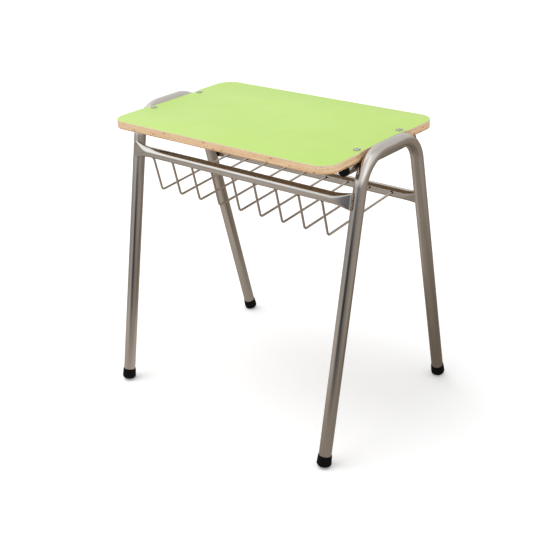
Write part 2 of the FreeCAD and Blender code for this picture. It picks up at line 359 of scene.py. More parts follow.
@dataclass
class GrindingMarks(Effect):
    """Fine marks that run along a ground tube's third axis."""

    name: str = "grinding marks"
    setting: str = "Fineness"
    default: float = 1.0
    masks: tuple[str, ...] = ("Streaks", "Height")

    def _draw(self, pen: NodePen, vector: Socket, value: Socket) -> tuple[Socket, ...]:
        """Lays fine streaks over coarse ones.

        Args:
            pen: The group's pen.
            vector: Where the effect is read.
            value: The input that sizes it.

        Returns:
            The sharpened streaks and the plain height under them.
        """
        scaled = pen.grow(vector, value)
        fine = pen.noise(pen.stretch(scaled, (1.0, 1.0, 0.012)), 2600.0, 2.0)
        coarse = pen.noise(pen.stretch(scaled, (1.0, 1.0, 0.03)), 420.0, 3.0, 0.6)
        both = pen.weigh(fine, 0.55, coarse, 0.45)
        return pen.spread(both, 0.36, 0.64), both


@dataclass
class HandlingMarks(Effect):
    """Soft cloudy marks that hands and cloths leave."""

    name: str = "handling marks"
    setting: str = "Size"
    default: float = 0.05
    masks: tuple[str, ...] = ("Clouds",)

    def _draw(self, pen: NodePen, vector: Socket, value: Socket) -> tuple[Socket, ...]:
        """Draws clouds about as wide as the setting.

        Args:
            pen: The group's pen.
            vector: Where the effect is read.
            value: The input that sizes it.

        Returns:
            The clouds.
        """
        scaled = pen.grow(vector, pen.maths("DIVIDE", 1.0, value))
        return (pen.spread(pen.noise(scaled, 1.0, 5.0, 0.6), 0.35, 0.68),)


@dataclass
class FloorDust(Effect):
    """Thin dust that gathers close to the floor."""

    name: str = "floor dust"
    setting: str = "Reach"
    default: float = 0.05
    masks: tuple[str, ...] = ("Dust",)

    def _draw(self, pen: NodePen, vector: Socket, value: Socket) -> tuple[Socket, ...]:
        """Draws patches that thin out up to the setting's height.

        Args:
            pen: The group's pen.
            vector: Where the effect is read.
            value: The input that sizes it.

        Returns:
            The dust.
        """
        low = pen.maths("SUBTRACT", 1.0, pen.maths("DIVIDE", pen.rise(vector), value), clamp=True)
        patches = pen.spread(pen.noise(vector, 260.0, 4.0, 0.6), 0.4, 0.7, 0.2)
        return (pen.maths("MULTIPLY", low, patches, clamp=True),)


GRINDING = GrindingMarks()
HANDLING = HandlingMarks()
DUST = FloorDust()


def open_tree(owner: Material | bpy.types.World) -> NodePen:
    """Empties the node tree of a material or a world.

    Args:
        owner: The material or world.

    Returns:
        A pen for its tree.
    """
    owner.use_nodes = True
    owner.node_tree.nodes.clear()
    return NodePen(owner.node_tree)


@dataclass(frozen=True)
class Finish:
    """A material with one Principled BSDF.

    Attributes:
        name: The material's name.
    """

    name: str

    def build(self) -> Material:
        """Makes the material.

        Returns:
            The new material.
        """
        material = bpy.data.materials.new(self.name)
        pen = open_tree(material)
        shader = pen.put("ShaderNodeBsdfPrincipled", self._surface(pen))
        pen.put("ShaderNodeOutputMaterial", {"Surface": shader.outputs[0]})
        return material

    def _surface(self, pen: NodePen) -> Inputs:
        """Writes the nodes that feed the shader, and names its inputs."""
        raise NotImplementedError


@dataclass(frozen=True)
class SteelFinish(Finish):
    """Satin steel under clear lacquer, with grinding marks along the tube.

    Attributes:
        light: Colour of the open steel.
        deep: Colour where grinding and handling have dulled it.
        run: What the grinding marks follow.
        roughness: Mean roughness.
        marks: Strength of the grinding marks' relief.
        mark_depth: Depth of that relief.
        fineness: How fine the marks are.
        clouds: Size of the cloudy marks.
    """

    light: Colour = (0.62, 0.595, 0.57)
    deep: Colour = (0.54, 0.51, 0.475)
    run: Run = Run.STRAIGHTENED
    roughness: float = 0.19
    marks: float = 0.018
    mark_depth: float = 0.0004
    fineness: float = 1.0
    clouds: float = 0.06

    def _vector(self, pen: NodePen) -> Socket:
        """Finds the vector whose third axis the marks follow.

        Args:
            pen: The pen of the material's tree.

        Returns:
            The vector.
        """
        if self.run is Run.STRAIGHTENED:
            return pen.put("ShaderNodeAttribute", attribute_name=STRAIGHTENED).outputs["Vector"]
        return pen.stretch(pen.place(), (1.0, 1.0, 1.0), (math.pi / 2, 0.0, 0.0))

    def _surface(self, pen: NodePen) -> Inputs:
        """Writes the nodes that feed the shader.

        Args:
            pen: The pen of the material's tree.

        Returns:
            Values and sockets by the shader's inputs.
        """
        streaks, height = GRINDING.on(pen, self._vector(pen), self.fineness)
        clouds = HANDLING.on(pen, pen.place(), self.clouds)[0]
        dulled = pen.weigh(streaks, 0.6, clouds, 0.2, clamp=True)
        return {
            "Base Color": pen.blend(dulled, self.light, self.deep),
            "Roughness": pen.maths("MULTIPLY_ADD", dulled, 0.1, self.roughness - 0.04),
            "Metallic": 1.0,
            "Normal": pen.relief(height, self.marks, self.mark_depth),
        }


@dataclass(frozen=True)
class WeldFinish(Finish):
    """Weld metal with heat colours and a fine ripple.

    Attributes:
        bright: Colour of the open metal.
        burnt: Colour of the scale in the hollows.
        roughness: Mean roughness.
        ripple_depth: Depth of the ripple.
    """

    bright: Colour = srgb(188, 172, 152)
    burnt: Colour = srgb(84, 66, 50)
    roughness: float = 0.42
    ripple_depth: float = 0.0005

    def _surface(self, pen: NodePen) -> Inputs:
        """Writes the nodes that feed the shader.

        Args:
            pen: The pen of the material's tree.

        Returns:
            Values and sockets by the shader's inputs.
        """
        place = pen.place()
        scale = pen.spread(pen.noise(place, 520.0, 4.0, 0.65), 0.38, 0.62)
        return {
            "Base Color": pen.blend(scale, self.bright, self.burnt),
            "Roughness": pen.maths("MULTIPLY_ADD", scale, 0.25, self.roughness - 0.1),
            "Metallic": 0.85,
            "Normal": pen.relief(pen.noise(place, 900.0, 2.0), 0.35, self.ripple_depth),
        }


@dataclass(frozen=True)
class ScrewFinish(Finish):
    """Bright zinc plating with painted shade in the recess, round the head's foot and on its domed flank,
    and faint handling smudges.

    Attributes:
        plating: Colour of the zinc.
        painted_shade: Colour of the painted shade.
        seat: Height of the surface that the heads sit on.
        rim: Height of a head's upright rim.
        recess: Height of the recess's floor above the seat.
        recess_fade: Height over which the painted shade on that floor fades.
        recess_edge: How far below that floor its painted shade already shows in full.
        flank_fade: Height over which the painted shade of the domed flank sets in.
        roughness: Mean roughness.
        clouds: Size of the cloudy marks.
    """

    name: str = "bright zinc"
    plating: Colour = (0.78, 0.775, 0.79)
    painted_shade: Colour = (0.16, 0.155, 0.155)
    seat: float = 0.760
    rim: float = 0.0009
    recess: float = 0.0018
    recess_fade: float = 0.0006
    recess_edge: float = 0.0002
    flank_fade: float = 0.0003
    roughness: float = 0.3
    clouds: float = 0.004

    def _surface(self, pen: NodePen) -> Inputs:
        """Writes the nodes that feed the shader.

        Args:
            pen: The pen of the material's tree.

        Returns:
            Values and sockets by the shader's inputs.
        """
        place = pen.place()
        height = pen.rise(place)

        def ramp(low: float, high: float, to_low: float, to_high: float) -> Socket:
            """A mask between two heights above the seat."""
            return pen.spread(height, self.seat + low, self.seat + high, to_low, to_high)

        # Painted shade: the head's foot, the recess floor and the flank that faces sideways are darkened
        # where shade falls; handling clouds are added on top.
        foot = ramp(self.rim * 0.3, self.rim, 0.8, 0.0)
        floor = ramp(self.recess, self.recess + self.recess_fade, 1.0, 0.0)
        sunk = pen.maths("MULTIPLY", floor, ramp(self.rim, self.recess - self.recess_edge, 0.0, 1.0))
        steep = pen.spread(pen.upward(), 0.3, 0.7, 0.5, 0.0)
        flank = pen.maths("MULTIPLY", steep, ramp(self.rim, self.rim + self.flank_fade, 0.0, 1.0))
        clouds = HANDLING.on(pen, place, self.clouds)[0]
        painted_shade_and_smudges = pen.maths("MAXIMUM", pen.maths("MAXIMUM", foot, sunk), flank)
        painted_shade_and_smudges = pen.maths("MULTIPLY_ADD", clouds, 0.18, painted_shade_and_smudges, clamp=True)
        return {
            "Base Color": pen.blend(painted_shade_and_smudges, self.plating, self.painted_shade),
            "Roughness": pen.maths("MULTIPLY_ADD", painted_shade_and_smudges, 0.3, self.roughness),
            "Metallic": 1.0,
        }


@dataclass(frozen=True)
class LaminateFinish(Finish):
    """Satin decor laminate with a fine pearl texture and a pale cut edge.

    Attributes:
        face: Colour of the decor side.
        shade: A slightly deeper tone of it.
        edge: Colour of the cut edge.
        roughness: Mean roughness.
        facing: Which way the decor side looks along Z, 1 or -1.
        clouds: Size of the cloudy marks.
        pearl_depth: Depth of the pearl texture.
    """

    face: Colour
    shade: Colour
    edge: Colour
    roughness: float = 0.42
    facing: float = 1.0
    clouds: float = 0.16
    pearl_depth: float = 0.00025

    def _surface(self, pen: NodePen) -> Inputs:
        """Writes the nodes that feed the shader.

        Args:
            pen: The pen of the material's tree.

        Returns:
            Values and sockets by the shader's inputs.
        """
        place = pen.place()
        clouds = HANDLING.on(pen, place, self.clouds)[0]
        pearl = pen.noise(place, 900.0, 3.0, 0.55)
        decor = pen.blend(pen.weigh(clouds, 0.6, pearl, 0.4, clamp=True), self.face, self.shade)
        decor_side = pen.spread(pen.maths("MULTIPLY", pen.upward(), self.facing), 0.8, 0.9)
        return {
            "Base Color": pen.blend(decor_side, self.edge, decor),
            "Roughness": pen.maths("MULTIPLY_ADD", clouds, 0.06, self.roughness),
            "Normal": pen.relief(pearl, 0.12, self.pearl_depth),
        }


@dataclass(frozen=True)
class BeechFinish(Finish):
    """Clear-lacquered beech seen on the board's edge, with its short dark flecks.

    Attributes:
        pale: Colour of the early wood.
        warm: Colour of the late wood.
        fleck: Colour of the ray flecks and pores.
        glue: Colour of the thin pale line under the laminate.
        glue_low: Height at which that line sets in.
        glue_high: Height from which it shows in full.
        grain_depth: Depth of the grain.
        roughness: Least roughness.
    """

    name: str = "lacquered beech"
    pale: Colour = srgb(248, 216, 175)
    warm: Colour = srgb(229, 186, 138)
    fleck: Colour = srgb(132, 90, 58)
    glue: Colour = srgb(236, 206, 190)
    glue_low: float = 0.7574
    glue_high: float = 0.7581
    grain_depth: float = 0.0004
    roughness: float = 0.42

    def _surface(self, pen: NodePen) -> Inputs:
        """Writes the nodes that feed the shader.

        Args:
            pen: The pen of the material's tree.

        Returns:
            Values and sockets by the shader's inputs.
        """
        rim = pen.put("ShaderNodeUVMap", uv_map=RIM_MAP).outputs[0]
        grain = pen.noise(pen.stretch(rim, (5.0, 210.0, 1.0)), 1.0, 5.0, 0.62)
        staves = pen.noise(pen.stretch(rim, (9.0, 2.0, 1.0)), 1.0, 1.0)
        tone = pen.spread(pen.weigh(grain, 0.72, staves, 0.28), 0.36, 0.62)
        wood = pen.blend(tone, self.pale, self.warm)
        rays = pen.noise(pen.stretch(rim, (170.0, 620.0, 1.0)), 1.0, 2.0)
        wood = pen.blend(pen.spread(rays, 0.56, 0.72, 0.0, 0.55), wood, self.fleck)
        wood = pen.blend(self._knots(pen, rim), wood, self.fleck)
        line = pen.spread(pen.rise(pen.place()), self.glue_low, self.glue_high, 0.0, 0.85)
        return {
            "Base Color": pen.blend(line, wood, self.glue),
            "Roughness": pen.maths("MULTIPLY_ADD", tone, 0.08, self.roughness),
            "Normal": pen.relief(grain, 0.15, self.grain_depth),
        }

    @staticmethod
    def _knots(pen: NodePen, rim: Socket) -> Socket:
        """Dark flecks at the middles of some of the cells of a leaning net.

        Args:
            pen: The pen of the material's tree.
            rim: Position round the board and up its edge.

        Returns:
            The mask.
        """
        leant = pen.stretch(rim, (30.0, 105.0, 1.0), (0.0, 0.0, 0.22))
        cells = pen.put("ShaderNodeTexVoronoi", {"Vector": leant, "Scale": 1.0}, voronoi_dimensions="2D")
        red = pen.put("ShaderNodeSeparateColor", {0: cells.outputs[1]}).outputs[0]
        middles = pen.spread(cells.outputs[0], 0.06, 0.2, 0.8, 0.0)
        return pen.maths("MULTIPLY", middles, pen.spread(red, 0.45, 0.85))


@dataclass(frozen=True)
class MouldedFinish(Finish):
    """Black moulded rubber or plastic with a fine skin and a little dust.

    Attributes:
        body: Colour of the moulding.
        dusty: Colour of the dust on it.
        roughness: Mean roughness.
        reach: How high dust from the floor reaches.
        clouds: Size of the cloudy marks.
        skin_depth: Depth of the moulded skin.
    """

    body: Colour = (0.0025, 0.0025, 0.003)
    dusty: Colour = (0.016, 0.015, 0.014)
    roughness: float = 0.5
    reach: float = 0.03
    clouds: float = 0.012
    skin_depth: float = 0.0003

    def _surface(self, pen: NodePen) -> Inputs:
        """Writes the nodes that feed the shader.

        Args:
            pen: The pen of the material's tree.

        Returns:
            Values and sockets by the shader's inputs.
        """
        place = pen.place()
        dust = DUST.on(pen, place, self.reach)[0]
        clouds = HANDLING.on(pen, place, self.clouds)[0]
        share = pen.weigh(clouds, 0.05, dust, 0.25, clamp=True)
        return {
            "Base Color": pen.blend(share, self.body, self.dusty),
            "Roughness": pen.maths("MULTIPLY_ADD", share, 0.3, self.roughness),
            "Specular IOR Level": 0.12,
            "Normal": pen.relief(pen.noise(place, 1400.0, 2.0), 0.2, self.skin_depth),
        }


def only(items: list[object], kind: type) -> list:
    """The items of one kind among what a bmesh operator has made."""
    return [item for item in items if isinstance(item, kind)]


def turned(profile: Points, steps: int) -> BMesh:
    """Turns a profile round the Z axis.

    Args:
        profile: Distance from the axis and height of the profile's points.
        steps: Steps in the full turn.

    Returns:
        The turned mesh.
    """
    mesh = bmesh.new()
    verts = [mesh.verts.new((across, 0, up)) for across, up in profile]
    shape = verts + [mesh.edges.new(pair) for pair in zip(verts, verts[1:])]
    bmesh.ops.spin(
        mesh, geom=shape, cent=(0, 0, 0), axis=(0, 0, 1), angle=math.tau, steps=steps, use_merge=True
    )
    bmesh.ops.remove_doubles(mesh, verts=mesh.verts, dist=TOUCHING)
    return mesh


def as_data(name: str, mesh: BMesh) -> bpy.types.Mesh:
    """Turns a finished bmesh into mesh data.

    Args:
        name: The data's name.
        mesh: The bmesh; it is freed.

    Returns:
        The mesh data.
    """
    data = bpy.data.meshes.new(name)
    mesh.to_mesh(data)
    mesh.free()
    return data


def new_object(name: str, data: bpy.types.ID) -> Object:
    """Puts new data into the scene as an object.

    Args:
        name: The object's name.
        data: Its mesh, lamp or camera.

    Returns:
        The object.
    """
    made = bpy.data.objects.new(name, data)
    bpy.context.scene.collection.objects.link(made)
    return made


def new_piece(
    name: str, mesh: BMesh, material: Material, nodes: list[str], sharp: float = 35.0
) -> Object:
    """Turns a finished mesh into a piece that stands for some nodes.

    Args:
        name: The piece's name.
        mesh: The mesh, already in place; it is freed.
        material: What the piece is made of.
        nodes: The nodes that the piece replaces.
        sharp: Edges sharper than this angle in degrees stay hard.

    Returns:
        The piece.
    """
    for face in mesh.faces:
        face.smooth = True
    data = as_data(name, mesh)
    data.set_sharp_from_angle(angle=math.radians(sharp))
    data.materials.append(material)
    piece = new_object(name, data)
    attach(piece, ROOT)
    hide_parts(*nodes)
    LOG.info("%s: %d faces, stands for %s", name, len(data.polygons), ", ".join(nodes))
    return piece


def dress(frame: Frame, nodes: list[str], material: Material) -> None:
    """Gives carried-over nodes their finish.

    Args:
        frame: The loaded frame.
        nodes: Names of the nodes.
        material: The finish.
    """
    for name in nodes:
        for place in frame["nodes"][name].material_slots:
            place.material = material
    LOG.info("%s: dressed in %s", ", ".join(nodes), material.name)


class BentTube:
    """A tube drawn on from ring to ring, which notes each ring's place on the unbent tube.

    Attributes:
        mesh: The tube so far.
        layer: The layer of places on the unbent tube.
        first: The ring that it starts with.
        edges: The ring at its open end.
        run: Its length so far.
    """

    def __init__(self, radius: float, rings: int, place: Matrix) -> None:
        """Draws the first ring.

        Args:
            radius: Outer radius of the tube.
            rings: Points round the tube.
            place: Takes the ring from the origin to its place.
        """
        self.mesh = bmesh.new()
        self.layer = self.mesh.verts.layers.float_vector.new(STRAIGHTENED)
        made = bmesh.ops.create_circle(self.mesh, segments=rings, radius=radius, cap_ends=False)
        for vert in made["verts"]:
            vert[self.layer] = vert.co
        bmesh.ops.transform(self.mesh, matrix=place, verts=made["verts"])
        self.first = self.mesh.edges[:]
        self.edges = self.first
        self.run = 0.0

    def _open_at(self, geometry: list[object], length: float) -> None:
        """Takes a new ring as the open end.

        Args:
            geometry: What an operator has just made.
            length: How much longer the tube has become.
        """
        self.run += length
        verts = set(only(geometry, BMVert))
        for vert in verts:
            around = vert[self.layer]
            vert[self.layer] = Vector((around.x, around.y, self.run))
        self.edges = [edge for edge in only(geometry, BMEdge) if set(edge.verts) <= verts]

    def push(self, way: Vector) -> None:
        """Draws the tube straight on.

        Args:
            way: Where the open end goes.
        """
        made = bmesh.ops.extrude_edge_only(self.mesh, edges=self.edges)["geom"]
        bmesh.ops.translate(self.mesh, vec=way, verts=only(made, BMVert))
        self._open_at(made, way.length)

    def bend(self, pivot: Vector, radius: float, angle: float, steps: int) -> None:
        """Bends the tube forwards in the plane across X.

        Args:
            pivot: Centre of the bend.
            radius: Radius of the bend.
            angle: Angle of the bend.
            steps: Rings in the bend.
        """
        step = angle / steps
        for _ in range(steps):
            made = bmesh.ops.spin(
                self.mesh, geom=self.edges, cent=pivot, axis=(1, 0, 0), angle=-step, steps=1
            )
            self._open_at(made["geom_last"], step * radius)

    def close(self) -> None:
        """Closes both ends."""
        for ring in (self.first, self.edges):
            bmesh.ops.contextual_create(self.mesh, geom=ring)


@dataclass(frozen=True)
class FootShape:
    """The profile of a rubber foot, which is turned round the leg's axis.

    Attributes:
        bore: Inner radius.
        bore_cut: Chamfer of the bore's mouth.
        lip: Outer radius at the lip.
        lip_cut: Points of the lip's rounded edge, inwards and down from its corner.
        base: Outer radius near the base.
        height: Height of the foot.
        floor: Thickness of its floor.
        rounding: Radius of its lower edge.
        rounding_steps: Points in that rounding.
        groove_heights: Heights of the grip grooves.
        groove: Points of a groove's section, inwards and up from its middle.
        tread: Points of the tread ring in the base.
        steps: Steps round the foot.
    """

    bore: float = 0.0162
    bore_cut: float = 0.0004
    lip: float = 0.0176
    lip_cut: Points = ((0.0, 0.0008), (0.00025, 0.0002), (0.0008, 0.0))
    base: float = 0.0187
    height: float = 0.030
    floor: float = 0.006
    rounding: float = 0.009
    rounding_steps: int = 12
    groove_heights: tuple[float, ...] = (0.0205, 0.0235)
    groove: Points = ((0.0, -0.0006), (0.00025, -0.0002), (0.00025, 0.0002), (0.0, 0.0006))
    tread: Points = ((0.0, 0.0), (0.0040, 0.0), (0.0046, 0.0006), (0.0066, 0.0006), (0.0072, 0.0))
    steps: int = 64

    def profile(self) -> Points:
        """Goes from the middle of the base round the outside to the middle of the floor.

        Returns:
            Distance from the axis and height of each point.
        """
        points = list(self.tread)
        for step in range(self.rounding_steps + 1):
            angle = math.radians(90 * step / self.rounding_steps)
            across = self.base - self.rounding + self.rounding * math.sin(angle)
            points.append((across, self.rounding - self.rounding * math.cos(angle)))
        slope = (self.lip - self.base) / (self.height - self.rounding)
        for level in self.groove_heights:
            wide = self.base + slope * (level - self.rounding)
            points += [(wide - inwards, level + up) for inwards, up in self.groove]
        points += [(self.lip - inwards, self.height - down) for inwards, down in self.lip_cut]
        points += [(self.bore + self.bore_cut, self.height), (self.bore, self.height - self.bore_cut)]
        return (*points, (self.bore, self.floor), (0.0, self.floor))


@dataclass
class TubeFrame:
    """The inverted-U tube at one end of the desk, with its rubber feet.

    Attributes:
        side: Which end of the desk it stands at.
        radius: Outer radius of the tube.
        axis_x: Distance of the top of its axis from the middle of the desk.
        top: Height of the axis at the top.
        flat: Length of the level part.
        bend: Radius of the bends.
        splay: Lean of the legs in the frame's plane, in degrees.
        toe_in: Lean of the frame's plane, in degrees.
        rings: Points round the tube.
        bend_steps: Rings in each bend.
        foot: Shape of the feet.
        seat_gap: Gap between a tube's end and its foot's floor.
    """

    side: Side
    radius: float = 0.016
    axis_x: float = 0.362
    top: float = 0.753
    flat: float = 0.072
    bend: float = 0.085
    splay: float = 12.35
    toe_in: float = 0.76
    rings: int = 88
    bend_steps: int = 36
    foot: FootShape = FootShape()
    seat_gap: float = 0.0002

    @property
    def lean(self) -> float:
        """The legs' splay as an angle in radians."""
        return math.radians(self.splay)

    def _reach(self, drop: float) -> float:
        """Distance along Y from the middle to a leg's axis.

        Args:
            drop: How far below the top's level, in the frame's plane.

        Returns:
            The distance.
        """
        corner = self.flat / 2 + self.bend * math.tan(math.radians(90 - self.splay) / 2)
        return corner + drop * math.tan(self.lean)

    def _stand(self) -> Matrix:
        """Takes the frame's own plane, with the top of the axis at its origin, to the desk."""
        shift = Matrix.Translation((self.side.value * self.axis_x, 0, self.top))
        return shift @ Matrix.Rotation(self.side.value * math.radians(self.toe_in), 4, "Y")

    def leg_point(self, side: Side, end: End, height: float) -> Vector:
        """Point of a leg's axis at a height above the floor.

        Args:
            side: Which end of the desk.
            end: Which leg.
            height: Height of the point.

        Returns:
            The point.
        """
        toe = math.radians(self.toe_in)
        drop = (self.top - height) / math.cos(toe)
        across = side.value * (self.axis_x - drop * math.sin(toe))
        return Vector((across, end.value * self._reach(drop), height))

    def _foot_drop(self) -> float:
        """Works out how low the feet have to sit for their bases to meet the floor.

        Returns:
            How far below the top a foot's base centre lies, in the frame's plane.
        """
        toe = math.radians(self.toe_in)
        tilt = math.acos(math.cos(self.lean) * math.cos(toe))
        edge, rounding = self.foot.base - self.foot.rounding, self.foot.rounding
        return (self.top - edge * math.sin(tilt) - rounding * (1 - math.cos(tilt))) / math.cos(toe)

    def build_tube(self, material: Material) -> Object:
        """Bends the tube from one foot to the other.

        Args:
            material: The steel.

        Returns:
            The tube's piece.
        """
        turn = math.pi / 2 - self.lean
        drop = self._foot_drop() - (self.foot.floor + self.seat_gap) * math.cos(self.lean)
        leg = drop / math.cos(self.lean) - self.bend * math.tan(turn / 2)
        up = Vector((0, math.sin(self.lean), math.cos(self.lean)))
        start = Matrix.Translation((0, -self._reach(drop), -drop))
        aim = up.to_track_quat("Z", "Y").to_matrix().to_4x4()
        tube = BentTube(self.radius, self.rings, start @ aim)
        tube.push(up * leg)
        tube.bend(Vector((0, -self.flat / 2, -self.bend)), self.bend, turn, self.bend_steps)
        tube.push(Vector((0, self.flat, 0)))
        tube.bend(Vector((0, self.flat / 2, -self.bend)), self.bend, turn, self.bend_steps)
        tube.push(Vector((0, up.y, -up.z)) * leg)
        tube.close()
        mesh = tube.mesh
        bmesh.ops.transform(mesh, matrix=self._stand(), verts=mesh.verts)
        bmesh.ops.recalc_face_normals(mesh, faces=mesh.faces)
        label = self.side.label
        return new_piece(f"{label}_frame", mesh, material, [f"{label}_frame_tube"])

    def build_foot(self, end: End, material: Material) -> Object:
        """Turns one rubber foot and sets it on its leg.

        Args:
            end: Which leg it sits on.
            material: The rubber.

        Returns:
            The foot's piece.
        """
        mesh = turned(self.foot.profile(), self.foot.steps)
        bmesh.ops.recalc_face_normals(mesh, faces=mesh.faces)
        drop = self._foot_drop()
        centre = Matrix.Translation((0, end.value * self._reach(drop), -drop))
        tilt = Matrix.Rotation(end.value * self.lean, 4, "X")
        bmesh.ops.transform(mesh, matrix=self._stand() @ centre @ tilt, verts=mesh.verts)
        name = f"{end.label}_{self.side.label}_foot"
        return new_piece(f"{name}_cup", mesh, material, [name], sharp=25.0)


@dataclass
class RackRail:
    """A rail of the book rack: a round tube with its ends pressed flat against the legs.

    Attributes:
        end: Which side of the desk it joins.
        height: Height of its axis.
        frame: One of the two end frames that it joins.
        radius: Outer radius of the round part.
        wall: Thickness of the tube's wall.
        half_thickness: Half the thickness of a pressed end.
        flat: Length of a fully pressed end.
        neck: Length over which the tube widens.
        ease: How slowly the widening starts.
        bite: How far a leg is let into a pressed end.
        inset: How far an end stops short of the leg's axis.
        gap: Free gap to the leg.
        rings: Points round the tube.
        neck_steps: Rings in each neck.
        body_steps: Rings in each half of the round part.
    """

    end: End
    height: float
    frame: TubeFrame
    radius: float = 0.014
    wall: float = 0.0015
    half_thickness: float = 0.0025
    flat: float = 0.004
    neck: float = 0.050
    ease: float = 1.6
    bite: float = 0.0008
    inset: float = 0.005
    gap: float = 0.0002
    rings: int = 96
    neck_steps: int = 20
    body_steps: int = 6

    @property
    def label(self) -> str:
        """The rail's word in the names of nodes."""
        return "upper" if self.end is End.BACK else "lower"

    @property
    def half_length(self) -> float:
        """Distance from the middle of the desk to an end of the rail."""
        return self.frame.leg_point(Side.RIGHT, self.end, self.height).x - self.inset

    @property
    def neck_start(self) -> float:
        """Distance from the middle of the desk to where the round part ends."""
        return self.half_length - self.flat - self.neck

    def axis(self) -> Vector:
        """Works out where the rail lies beside the legs.

        Returns:
            The middle of its axis.
        """
        offset = self.frame.radius + self.half_thickness - self.bite
        beside = self.height - offset * math.sin(self.frame.lean)
        leg = self.frame.leg_point(Side.RIGHT, self.end, beside)
        return Vector((0, leg.y + self.end.value * offset * math.cos(self.frame.lean), self.height))

    def leg_line(self, side: Side) -> tuple[Vector, Vector]:
        """A leg's axis beside the rail.

        Args:
            side: Which end of the desk.

        Returns:
            Its point at the rail's height and its direction downwards.
        """
        beside = self.frame.leg_point(side, self.end, self.height)
        return beside, (self.frame.leg_point(side, self.end, 0.0) - beside).normalized()

    def _press(self, vert: BMVert, layer: object) -> None:
        """Moves a point of the round tube to where the press leaves it.

        Args:
            vert: The point, on a tube along X.
            layer: The layer of places on the unpressed tube, which is filled.
        """
        along, angle = vert.co.x, math.atan2(vert.co.z, vert.co.y) % math.tau
        vert[layer] = Vector((vert.co.y, vert.co.z, along))
        share = (abs(along) - self.neck_start) / self.neck
        share = min(max(share, 0.0), 1.0) ** self.ease
        pressed = (self.radius - self.half_thickness) * share
        radius, spread = self.radius - pressed, math.pi / 2 * pressed
        half = 2 * spread + math.pi * radius
        turn = 1 if angle < math.pi else -1
        place = half * (angle % math.pi) / math.pi
        if place < spread:
            across, up = radius, place
        elif place > half - spread:
            across, up = -radius, half - place
        else:
            bent = (place - spread) / radius
            across, up = radius * math.cos(bent), spread + radius * math.sin(bent)
        vert.co.y, vert.co.z = turn * across, turn * up

    def _seat(self, mesh: BMesh) -> None:
        """Lets the legs into the pressed ends by the bite.

        Args:
            mesh: The rail, in place.
        """
        reach = self.frame.radius + self.gap
        for side in Side:
            beside, down = self.leg_line(side)
            for vert in mesh.verts:
                offset = vert.co - beside
                square = offset - down * offset.dot(down)
                if square.length < reach:
                    vert.co += square.normalized() * (reach - square.length)

    def build(self, material: Material) -> Object:
        """Draws the tube, presses its ends and seats it on the legs.

        Args:
            material: The steel.

        Returns:
            The rail's piece.
        """
        right = [self.half_length, self.half_length - self.flat / 2]
        for step in range(self.neck_steps + 1):
            right.append(self.neck_start + self.neck * (1 - step / self.neck_steps))
        for step in range(1, self.body_steps):
            right.append(self.neck_start * (1 - step / self.body_steps))
        stations = [-station for station in right] + [0.0] + right[::-1]
        mesh = bmesh.new()
        straight = mesh.verts.layers.float_vector.new(STRAIGHTENED)
        stand = Matrix.Translation((stations[0], 0, 0)) @ Matrix.Rotation(math.pi / 2, 4, "Y")
        bmesh.ops.create_circle(
            mesh, segments=self.rings, radius=self.radius, cap_ends=False, matrix=stand
        )
        edges = mesh.edges[:]
        for before, after in zip(stations, stations[1:]):
            made = bmesh.ops.extrude_edge_only(mesh, edges=edges)["geom"]
            bmesh.ops.translate(mesh, vec=(after - before, 0, 0), verts=only(made, BMVert))
            edges = only(made, BMEdge)
        for vert in mesh.verts:
            self._press(vert, straight)
        tilt = Matrix.Rotation(self.end.value * self.frame.lean, 4, "X")
        bmesh.ops.transform(mesh, matrix=Matrix.Translation(self.axis()) @ tilt, verts=mesh.verts)
        self._seat(mesh)
        bmesh.ops.recalc_face_normals(mesh, faces=mesh.faces)
        node = f"{self.label}_rack_rail"
        piece = new_piece(f"{self.label}_rail", mesh, material, [node], sharp=60.0)
        wall = piece.modifiers.new("wall", "SOLIDIFY")
        wall.thickness = self.wall
        wall.offset = -1.0
        return piece


@dataclass(frozen=True)
class Layer:
    """One layer of the board.

    Attributes:
        node: The node that it replaces.
        slot: The record's material slot; nothing here uses it.
        thickness: Its thickness.
        easing: How far one of its edges is rounded.
        segments: Segments in that rounding.
        upper_edge: Whether the rounded edge is the upper one.
        set_in: How far its side stops inside the outline.
    """

    node: str
    slot: str
    thickness: float
    easing: float
    segments: int
    upper_edge: bool = False
    set_in: float = 0.0


